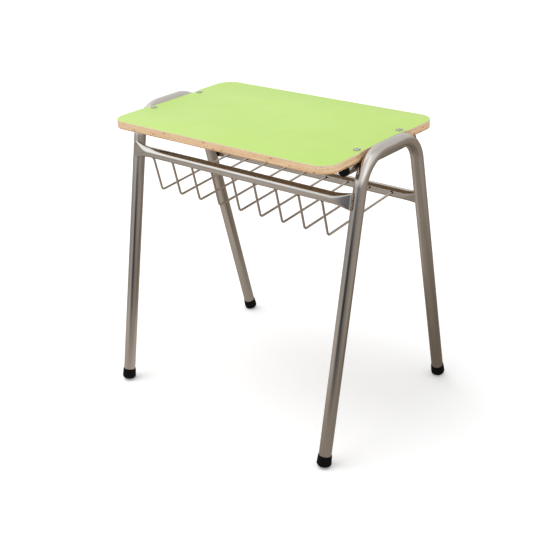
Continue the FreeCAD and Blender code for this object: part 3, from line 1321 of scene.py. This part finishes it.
@dataclass
class Board:
    """The board: beech core between two laminates, its edges eased.

    Attributes:
        top: Height of the work surface.
        length: Length along X.
        depth: Depth along Y.
        inner: Half length and half depth of the field round the screw holes, inside the rim.
        merging: Distance at which the node's loose corners are one.
        layers: The layers from the top downwards.
    """

    top: float = 0.760
    length: float = 0.7
    depth: float = 0.45
    inner: tuple[float, float] = (0.3401, 0.2)
    merging: float = 0.00002
    layers: tuple[Layer, ...] = (
        Layer("top_laminate", "green_laminate", 0.0009, 0.0006, 2, upper_edge=True),
        Layer("board_core", "board_edge_wood", 0.0182, 0.0026, 5),
        Layer("backing_laminate", "backing_laminate", 0.0009, 0.0004, 2, set_in=0.0021),
    )

    def build(self, frame: Frame, finishes: dict[str, Material]) -> None:
        """Makes the layers.

        Args:
            frame: The loaded frame.
            finishes: Materials by layer.
        """
        base = self.top
        for layer in self.layers:
            base -= layer.thickness
            mesh = self._outline(frame["nodes"][layer.node], base)
            self._thicken(mesh, layer, base)
            bmesh.ops.recalc_face_normals(mesh, faces=mesh.faces)
            if layer.node == "board_core":
                self._unroll(mesh)
            new_piece(f"{layer.node}_layer", mesh, finishes[layer.node], [layer.node])

    def _outline(self, source: Object, level: float) -> BMesh:
        """Takes the outer rim of a layer as one flat face.

        Args:
            source: The node that the layer replaces.
            level: The height that the rim is laid at.

        Returns:
            A mesh with that face.
        """
        mesh = bmesh.new()
        mesh.from_mesh(source.data)
        bmesh.ops.remove_doubles(mesh, verts=mesh.verts, dist=self.merging)
        lowest = min(vert.co.z for vert in mesh.verts)
        rim = set()
        for wall in [face for face in mesh.faces if abs(face.normal.z) < 0.5]:
            if wall.calc_center_median().to_2d().dot(wall.normal.to_2d()) > 0:
                low = [edge for edge in wall.edges if self._level(edge, lowest)]
                rim.update(edge for edge in low if self._outside(edge.verts[0].co))
        others = [edge for edge in mesh.edges if edge not in rim]
        bmesh.ops.delete(mesh, geom=others, context="EDGES_FACES")
        loose = [vert for vert in mesh.verts if not vert.link_edges]
        bmesh.ops.delete(mesh, geom=loose, context="VERTS")
        bmesh.ops.contextual_create(mesh, geom=mesh.edges[:])
        bmesh.ops.translate(mesh, vec=(0, 0, level - lowest), verts=mesh.verts)
        return mesh

    def _outside(self, point: Vector) -> bool:
        """Whether a point lies outside the field of the screw holes."""
        return abs(point.x) > self.inner[0] or abs(point.y) > self.inner[1]

    @staticmethod
    def _level(edge: BMEdge, height: float) -> bool:
        """Whether an edge lies level at a height."""
        return all(abs(vert.co.z - height) < TOUCHING for vert in edge.verts)

    def _thicken(self, mesh: BMesh, layer: Layer, base: float) -> None:
        """Gives a layer's outline its thickness and rounds one of its edges.

        Args:
            mesh: The outline.
            layer: The layer.
            base: Height of its lower side.
        """
        if layer.set_in:
            ring = bmesh.ops.inset_region(
                mesh, faces=mesh.faces[:], thickness=layer.set_in, use_even_offset=True
            )
            bmesh.ops.delete(mesh, geom=ring["faces"], context="FACES")
        made = bmesh.ops.extrude_face_region(mesh, geom=mesh.faces[:])["geom"]
        raised = only(made, BMVert)
        bmesh.ops.translate(mesh, vec=(0, 0, layer.thickness), verts=raised)
        level = base + layer.thickness if layer.upper_edge else base
        bmesh.ops.bevel(
            mesh,
            geom=[edge for edge in mesh.edges if self._level(edge, level)],
            offset=layer.easing,
            offset_type="OFFSET",
            segments=layer.segments,
            profile=0.5,
            affect="EDGES",
            material=-1,
        )

    def _unroll(self, mesh: BMesh) -> None:
        """Lays a map along the rim, its first axis running round the board and its second up.

        Args:
            mesh: The core.
        """
        layer = mesh.loops.layers.uv.new(RIM_MAP)
        around = 2 * (self.length + self.depth)
        for face in mesh.faces:
            places = [self._perimeter(loop.vert.co) for loop in face.loops]
            crossing = max(places) - min(places) > around / 2
            for loop, place in zip(face.loops, places):
                lap = around if crossing and place < around / 2 else 0.0
                loop[layer].uv = (place + lap, loop.vert.co.z - self.top)

    def _perimeter(self, point: Vector) -> float:
        """Distance round the board, measured on the four sides of its rectangle.

        Args:
            point: A point of the board.

        Returns:
            The distance from the back left corner.
        """
        half, aside = self.length / 2, self.depth / 2
        share_x, share_y = point.x / half, point.y / aside
        if abs(share_y) >= abs(share_x):
            return point.x + half if share_y < 0 else self.length + self.depth + half - point.x
        if share_x > 0:
            return self.length + aside + point.y
        return 2 * self.length + self.depth + aside - point.y


@dataclass
class WeldSeams:
    """The weld beads of the book rack.

    Attributes:
        rails: The two rails.
        voxel: Grain at which overlapping beads are merged.
        bead: Radius of a bead in a rail's seam.
        seam: Length of a rail's seam.
        beads: Beads in a rail's seam.
        ripple: How far the beads of a seam differ.
        spot: Half sizes of a wire's weld spot.
        drift: How far the blobs of a spot lie from its middle.
        blobs: Blobs in a spot.
    """

    rails: list[RackRail]
    voxel: float = 0.0004
    bead: float = 0.0026
    seam: float = 0.030
    beads: int = 10
    ripple: float = 0.0003
    spot: Vector = field(default_factory=lambda: Vector((0.0041, 0.0034, 0.0034)))
    drift: float = 0.0009
    blobs: int = 3

    def build(self, frame: Frame, seam: Material, scale: Material) -> None:
        """Lays all the seams.

        Args:
            frame: The loaded frame.
            seam: The weld metal of the rails' seams.
            scale: The metal of the wires' spots, painted near black as the shade where the wires meet the
                rails.
        """
        for rail in self.rails:
            node = f"{rail.label}_rail_welds"
            mesh = bmesh.new()
            for side in Side:
                self._seam(mesh, rail, side)
            new_piece(f"{node}_seam", self._melted(mesh), seam, [node], sharp=60.0)
            node = f"{rail.label}_wire_welds"
            mesh = bmesh.new()
            for number, middle in enumerate(self._spots(frame["nodes"][node])):
                self._spot(mesh, middle, number)
            new_piece(f"{node}_spots", self._melted(mesh), scale, [node], sharp=60.0)

    @staticmethod
    def _ball(mesh: BMesh, middle: Vector, half: Vector) -> None:
        """Lays one stretched ball.

        Args:
            mesh: Where it goes.
            middle: Its middle.
            half: Its half sizes.
        """
        shape = Matrix.Translation(middle) @ Matrix.Diagonal((*half, 1.0))
        bmesh.ops.create_icosphere(mesh, subdivisions=3, radius=1.0, matrix=shape)

    def _seam(self, mesh: BMesh, rail: RackRail, side: Side) -> None:
        """Lays overlapping beads up the end of a rail.

        Args:
            mesh: Where the beads go.
            rail: The rail.
            side: Which of its ends.
        """
        beside, down = rail.leg_line(side)
        tip = Vector((beside.x - side.value * rail.inset, rail.axis().y, rail.height))
        for step in range(self.beads):
            place = (step / (self.beads - 1) - 0.5) * self.seam
            wave = self.ripple * math.sin(2.4 * step + side.value)
            half = Vector((self.bead + wave, self.bead - wave, self.bead))
            self._ball(mesh, tip + down * place + Vector((0, wave, 0)), half)

    def _spot(self, mesh: BMesh, middle: Vector, number: int) -> None:
        """Lays the small blobs where a wire meets a rail.

        Args:
            mesh: Where the blobs go.
            middle: Their middle.
            number: The wire's number, which varies the blobs.
        """
        for turn in range(self.blobs):
            swing = 2.1 * turn + number
            offset = Vector((math.cos(swing), math.sin(swing) * 0.5, math.sin(swing))) * self.drift
            self._ball(mesh, middle + offset, self.spot * (0.86 + 0.08 * math.sin(1.7 * number + turn)))

    @staticmethod
    def _spots(source: Object) -> list[Vector]:
        """Middles of the separate solids in one node.

        Args:
            source: The node.

        Returns:
            The middle of each solid's box, from left to right.
        """
        mesh = bmesh.new()
        mesh.from_mesh(source.data)
        bmesh.ops.remove_doubles(mesh, verts=mesh.verts, dist=TOUCHING)
        left = set(mesh.verts)
        middles = []
        while left:
            front = [left.pop()]
            group = list(front)
            while front:
                for edge in front.pop().link_edges:
                    fresh = [vert for vert in edge.verts if vert in left]
                    left.difference_update(fresh)
                    front += fresh
                    group += fresh
            low = Vector([min(vert.co[axis] for vert in group) for axis in range(3)])
            high = Vector([max(vert.co[axis] for vert in group) for axis in range(3)])
            middles.append((low + high) / 2)
        mesh.free()
        return sorted(middles, key=lambda middle: middle.x)

    def _melted(self, mesh: BMesh) -> BMesh:
        """Melts overlapping beads into closed skins.

        Args:
            mesh: The beads; it is freed.

        Returns:
            The merged mesh.
        """
        holder = new_object("beads", as_data("beads", mesh))
        remesh = holder.modifiers.new("melt", "REMESH")
        remesh.mode = "VOXEL"
        remesh.voxel_size = self.voxel
        merged = bmesh.new()
        evaluated = holder.evaluated_get(bpy.context.evaluated_depsgraph_get())
        merged.from_mesh(evaluated.to_mesh())
        evaluated.to_mesh_clear()
        data = holder.data
        bpy.data.objects.remove(holder)
        bpy.data.meshes.remove(data)
        bmesh.ops.smooth_vert(
            merged, verts=merged.verts, factor=0.5, use_axis_x=True, use_axis_y=True, use_axis_z=True
        )
        return merged


@dataclass
class Surround:
    """The glowing tent round the desk, no lamp, which only its gloss shows: painted reflections of dark
    flags and pale cloth.

    Every table gives tones by azimuth in degrees, 0 along X and 90 along Y.

    Attributes:
        near: Glowing tones of the tent's floor near the desk, which the gloss shows in place of the real
            floor.
        far: Glowing tones of the tent's floor further out.
        skirt: Tones of the foot of the tent's wall.
        high: Tones of the pale tent above it, with bright patches that paint highlights, one towards the
            key light.
        outline: Distance and height of the points of the tent's section, from the floor up.
        steps: Steps round the tent.
        near_to: Radius up to which the near tones hold.
        far_from: Radius from which the far tones hold.
        far_to: Radius up to which they hold.
        skirt_from: Radius from which the skirt's tones hold.
        skirt_to: Height up to which they hold.
        high_from: Height from which the high tones hold.
        gain: Tone that a full share of a ramp stands for.
    """

    near: Tones = (
        (-180.0, (0.52, 0.46, 0.40)),
        (-140.0, (0.60, 0.53, 0.47)),
        (-109.0, (0.49, 0.42, 0.365)),
        (-85.0, (0.42, 0.36, 0.31)),
        (-60.0, (0.38, 0.325, 0.28)),
        (-30.0, (0.35, 0.30, 0.25)),
        (11.0, (0.25, 0.205, 0.165)),
        (26.0, (0.20, 0.165, 0.13)),
        (45.0, (0.22, 0.18, 0.14)),
        (65.0, (0.27, 0.225, 0.18)),
        (90.0, (0.31, 0.26, 0.215)),
        (120.0, (0.36, 0.31, 0.26)),
        (180.0, (0.52, 0.46, 0.40)),
    )
    far: Tones = (
        (-180.0, (0.44, 0.41, 0.375)),
        (-151.0, (0.46, 0.425, 0.39)),
        (-127.0, (0.66, 0.615, 0.57)),
        (-106.0, (0.58, 0.55, 0.52)),
        (-92.0, (0.40, 0.38, 0.36)),
        (-75.0, (0.20, 0.19, 0.18)),
        (-54.0, (0.13, 0.12, 0.115)),
        (-36.0, (0.20, 0.18, 0.16)),
        (-19.0, (0.36, 0.315, 0.28)),
        (0.0, (0.48, 0.42, 0.36)),
        (19.0, (0.44, 0.38, 0.33)),
        (40.0, (0.37, 0.31, 0.265)),
        (67.0, (0.28, 0.23, 0.19)),
        (110.0, (0.32, 0.27, 0.22)),
        (180.0, (0.44, 0.41, 0.375)),
    )
    skirt: Tones = (
        (-180.0, (0.44, 0.41, 0.375)),
        (-150.0, (0.42, 0.39, 0.365)),
        (-133.0, (0.42, 0.395, 0.37)),
        (-108.0, (0.52, 0.50, 0.48)),
        (-95.0, (0.36, 0.35, 0.345)),
        (-86.0, (0.06, 0.065, 0.075)),
        (-76.0, (0.02, 0.02, 0.025)),
        (-66.0, (0.04, 0.04, 0.04)),
        (-50.0, (0.19, 0.175, 0.16)),
        (-36.0, (0.36, 0.325, 0.30)),
        (-10.0, (0.42, 0.37, 0.33)),
        (5.0, (0.47, 0.41, 0.355)),
        (40.0, (0.41, 0.36, 0.31)),
        (67.0, (0.34, 0.285, 0.24)),
        (110.0, (0.33, 0.28, 0.23)),
        (180.0, (0.44, 0.41, 0.375)),
    )
    high: Tones = (
        (-180.0, (1.25, 1.24, 1.23)),
        (-152.0, (1.55, 1.54, 1.53)),
        (-132.0, (1.55, 1.54, 1.53)),
        (-118.0, (1.05, 1.05, 1.05)),
        (-88.0, (0.88, 0.88, 0.88)),
        (-66.0, (0.84, 0.84, 0.84)),
        (-42.0, (1.30, 1.28, 1.27)),
        (-18.0, (1.50, 1.48, 1.46)),
        (4.0, (1.05, 1.03, 1.01)),
        (35.0, (0.76, 0.74, 0.72)),
        (80.0, (0.84, 0.82, 0.80)),
        (115.0, (0.88, 0.87, 0.85)),
        (135.0, (0.94, 0.93, 0.92)),
        (155.0, (1.04, 1.03, 1.02)),
        (180.0, (1.25, 1.24, 1.23)),
    )
    outline: Points = (
        (0.0, 0.003),
        (0.7, 0.003),
        (1.5, 0.003),
        (2.6, 0.003),
        (2.6, 0.9),
        (2.6, 1.6),
        (2.4, 2.3),
        (1.9, 2.9),
        (1.1, 3.3),
        (0.0, 3.45),
    )
    steps: int = 96
    near_to: float = 0.7
    far_from: float = 1.6
    far_to: float = 1.8
    skirt_from: float = 2.5
    skirt_to: float = 0.45
    high_from: float = 1.5
    gain: float = 2.0

    def build(self) -> None:
        """Stands the tent round the desk."""
        data = as_data("surround", turned(self.outline, self.steps))
        data.materials.append(self._material())
        tent = new_object("surround", data)
        for kind in ("camera", "diffuse", "shadow", "transmission", "volume_scatter"):
            setattr(tent, f"visible_{kind}", False)

    def _material(self) -> Material:
        """Mixes the tones of the four tables over the tent.

        Returns:
            The tent's material.
        """
        material = bpy.data.materials.new("surround")
        pen = open_tree(material)
        place = pen.place()
        around = pen.put("ShaderNodeTexGradient", {"Vector": place}, gradient_type="RADIAL").outputs[1]
        level = pen.stretch(place, (1.0, 1.0, 0.0))
        reach = pen.put("ShaderNodeVectorMath", {0: level}, operation="LENGTH").outputs[1]
        steps = (
            (pen.spread(reach, self.near_to, self.far_from), self.far),
            (pen.spread(reach, self.far_to, self.skirt_from), self.skirt),
            (pen.spread(pen.rise(place), self.skirt_to, self.high_from), self.high),
        )
        tone = self._tones(pen, around, self.near)
        for share, table in steps:
            tone = pen.blend(share, tone, self._tones(pen, around, table))
        glow = pen.put("ShaderNodeEmission", {"Color": tone, "Strength": self.gain})
        pen.put("ShaderNodeOutputMaterial", {"Surface": glow.outputs[0]})
        return material

    def _tones(self, pen: NodePen, around: Socket, table: Tones) -> Socket:
        """Turns an azimuth into a tone.

        Args:
            pen: The pen of the tent's tree.
            around: The azimuth as a share of a turn, a half along X.
            table: Tones by azimuth, from half a turn before X to half a turn after it.

        Returns:
            The colour socket.
        """
        ramp = pen.put("ShaderNodeValToRGB", {0: around})
        stops = ramp.color_ramp.elements
        for angle, _ in table[1:-1]:
            stops.new(angle / 360 + 0.5)
        for stop, (_, tone) in zip(stops, table):
            stop.color = (*(part / self.gain for part in tone), 1.0)
        return ramp.outputs[0]


@dataclass
class Studio:
    """Floor, daylight and camera.

    Attributes:
        azimuth: Camera's azimuth in degrees.
        elevation: Camera's elevation in degrees.
        roll: Camera's roll in degrees.
        distance: Camera's distance from the aim.
        aim_height: Height of the aim.
        aside: How far the camera is moved to its right.
        above: How far the camera is moved up in its own frame.
        focal: Focal length in pixels of a 560-pixel image.
        pixels: Side of the image.
        sensor: Width of the camera's sensor in millimetres.
        clips: Nearest and furthest distance that the camera sees.
        floor_size: Side of the floor.
        floor_lit: Tone of the floor for the light that it sends on.
        floor_seen: Tone of the floor for the camera and for gloss.
        floor_lift: Share of the floor's tone that glows there, which lightens its shadow.
        floor_glow: Strength of that glow.
        daylight: Strength of the light from all round.
        key: Strength of the key light.
        key_angle: Width of the key light in degrees.
        key_from: Where the key light comes from.
    """

    azimuth: float = 40.651
    elevation: float = 26.052
    roll: float = -2.704
    distance: float = 2.59686
    aim_height: float = 0.4
    aside: float = 0.006034
    above: float = -0.085845
    focal: float = 966.787
    pixels: int = 560
    sensor: float = 36.0
    clips: tuple[float, float] = (0.05, 100.0)
    floor_size: float = 24.0
    floor_lit: float = 0.88
    floor_seen: float = 1.12
    floor_lift: float = 0.1
    floor_glow: float = 1.4
    daylight: float = 0.76
    key: float = 1.1
    key_angle: float = 44.0
    key_from: tuple[float, float, float] = (-0.38, -0.20, 1.0)

    def build(self) -> None:
        """Sets up the whole studio."""
        self._floor()
        self._world()
        self._lamp()
        Surround().build()
        self._camera()
        bpy.context.scene.view_settings.view_transform = "Standard"
        LOG.info("studio ready")

    @staticmethod
    def _seen(pen: NodePen) -> Socket:
        """Tells the rays that show the studio from those that light it.

        Args:
            pen: The pen of the floor's or world's tree.

        Returns:
            A share that is 1 for rays from the camera, from gloss and through glass.
        """
        path = pen.put("ShaderNodeLightPath")
        gloss = pen.maths("MAXIMUM", path.outputs["Is Camera Ray"], path.outputs["Is Glossy Ray"])
        return pen.maths("MAXIMUM", gloss, path.outputs["Is Transmission Ray"])

    def _floor(self) -> None:
        """Lays a pale floor that keeps the desk's shadow."""
        mesh = bmesh.new()
        bmesh.ops.create_grid(mesh, x_segments=4, y_segments=4, size=self.floor_size / 2)
        material = bpy.data.materials.new("pale floor")
        pen = open_tree(material)
        seen = self._seen(pen)
        pale = pen.blend(seen, (self.floor_lit,) * 3, (self.floor_seen,) * 3)
        matt = pen.put("ShaderNodeBsdfDiffuse", {"Color": pale})
        glow = pen.put("ShaderNodeEmission", {"Strength": self.floor_glow})
        share = pen.maths("MULTIPLY", seen, self.floor_lift)
        both = pen.put("ShaderNodeMixShader", {0: share, 1: matt.outputs[0], 2: glow.outputs[0]})
        pen.put("ShaderNodeOutputMaterial", {"Surface": both.outputs[0]})
        floor = new_object("floor", as_data("floor", mesh))
        floor.data.materials.append(material)

    def _world(self) -> None:
        """Surrounds the desk with soft white light."""
        world = bpy.data.worlds.new("white studio")
        pen = open_tree(world)
        white = (1.0, 1.0, 1.0, 1.0)
        light = pen.put("ShaderNodeBackground", {"Color": white, "Strength": self.daylight})
        plain = pen.put("ShaderNodeBackground", {"Color": white, "Strength": 1.0})
        inputs = {0: self._seen(pen), 1: light.outputs[0], 2: plain.outputs[0]}
        mixed = pen.put("ShaderNodeMixShader", inputs)
        pen.put("ShaderNodeOutputWorld", {"Surface": mixed.outputs[0]})
        bpy.context.scene.world = world

    def _lamp(self) -> None:
        """Hangs the broad key light high on the camera's left."""
        data = bpy.data.lights.new("key", "SUN")
        data.energy = self.key
        data.angle = math.radians(self.key_angle)
        lamp = new_object("key", data)
        lamp.rotation_mode = "QUATERNION"
        lamp.rotation_quaternion = Vector(self.key_from).to_track_quat("Z", "Y")
        # The key light stays out of the gloss; the tent's high tones paint its highlight instead.
        lamp.visible_glossy = False

    def _camera(self) -> None:
        """Puts the camera where the photograph was taken from."""
        turn, rise, roll = (math.radians(angle) for angle in (self.azimuth, self.elevation, self.roll))
        back = Vector((math.sin(turn) * math.cos(rise), -math.cos(turn) * math.cos(rise), math.sin(rise)))
        right = Vector((math.cos(turn), math.sin(turn), 0))
        up = back.cross(right)
        rolled_right = right * math.cos(roll) + up * math.sin(roll)
        rolled_up = up * math.cos(roll) - right * math.sin(roll)
        aim = Vector((0, 0, self.aim_height))
        place = aim + back * self.distance + right * self.aside + up * self.above
        data = bpy.data.cameras.new("camera")
        data.sensor_width = self.sensor
        data.lens = self.focal * self.sensor / self.pixels
        data.clip_start, data.clip_end = self.clips
        camera = new_object("camera", data)
        basis = Matrix((rolled_right, rolled_up, back)).transposed().to_4x4()
        camera.matrix_world = Matrix.Translation(place) @ basis
        bpy.context.scene.camera = camera


def board_finishes() -> dict[str, Material]:
    """Makes the finishes of the board's layers.

    Returns:
        Materials by layer.
    """
    green = LaminateFinish(
        "green laminate", srgb(193, 226, 118), srgb(188, 222, 111), srgb(228, 205, 180)
    )
    backing = LaminateFinish(
        "backing laminate", srgb(138, 110, 76), srgb(124, 98, 66), srgb(222, 184, 142), 0.5, facing=-1.0
    )
    finishes = {"top_laminate": green, "board_core": BeechFinish(), "backing_laminate": backing}
    return {node: finish.build() for node, finish in finishes.items()}


def dress_carried(frame: Frame) -> None:
    """Gives the nodes that keep their own shape their finishes.

    Args:
        frame: The loaded frame.
    """
    support = SteelFinish("support steel", run=Run.ALONG_Y)
    supports = [f"{side.label}_support_{part}" for side in Side for part in ("tube", "lugs")]
    dress(frame, supports, support.build())
    wire = SteelFinish("wire steel", (0.66, 0.60, 0.53), (0.52, 0.46, 0.39), Run.ALONG_Y, 0.34)
    dress(frame, [f"rack_wire_{number + 1}" for number in range(WIRE_COUNT)], wire.build())
    plastic = MouldedFinish("black plastic", roughness=0.38, reach=0.001)
    caps = [f"{end.label}_{side.label}_support_cap" for side in Side for end in End]
    dress(frame, caps, plastic.build())
    dress(frame, ["top_screws", "threaded_inserts"], ScrewFinish().build())


def main() -> None:
    """Loads the frame, builds and dresses the desk, and sets up the studio."""
    logging.basicConfig(level=logging.INFO, format="%(message)s")
    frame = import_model()
    steel = SteelFinish("frame steel").build()
    rubber = MouldedFinish("black rubber", roughness=0.55).build()
    for side in Side:
        tube_frame = TubeFrame(side)
        tube_frame.build_tube(steel)
        for end in End:
            tube_frame.build_foot(end, rubber)
    rails = [RackRail(End.BACK, 0.657, tube_frame), RackRail(End.FRONT, 0.5655, tube_frame)]
    for rail in rails:
        rail.build(steel)
    Board().build(frame, board_finishes())
    # The wires' weld spots are painted near black: painted shade where the wires meet the rails.
    scale = WeldFinish("weld spots in painted shade", srgb(64, 54, 46), srgb(22, 19, 17), 0.55)
    WeldSeams(rails).build(frame, WeldFinish("rail weld metal").build(), scale.build())
    dress_carried(frame)
    Studio().build()


if __name__ == "__main__":
    main()
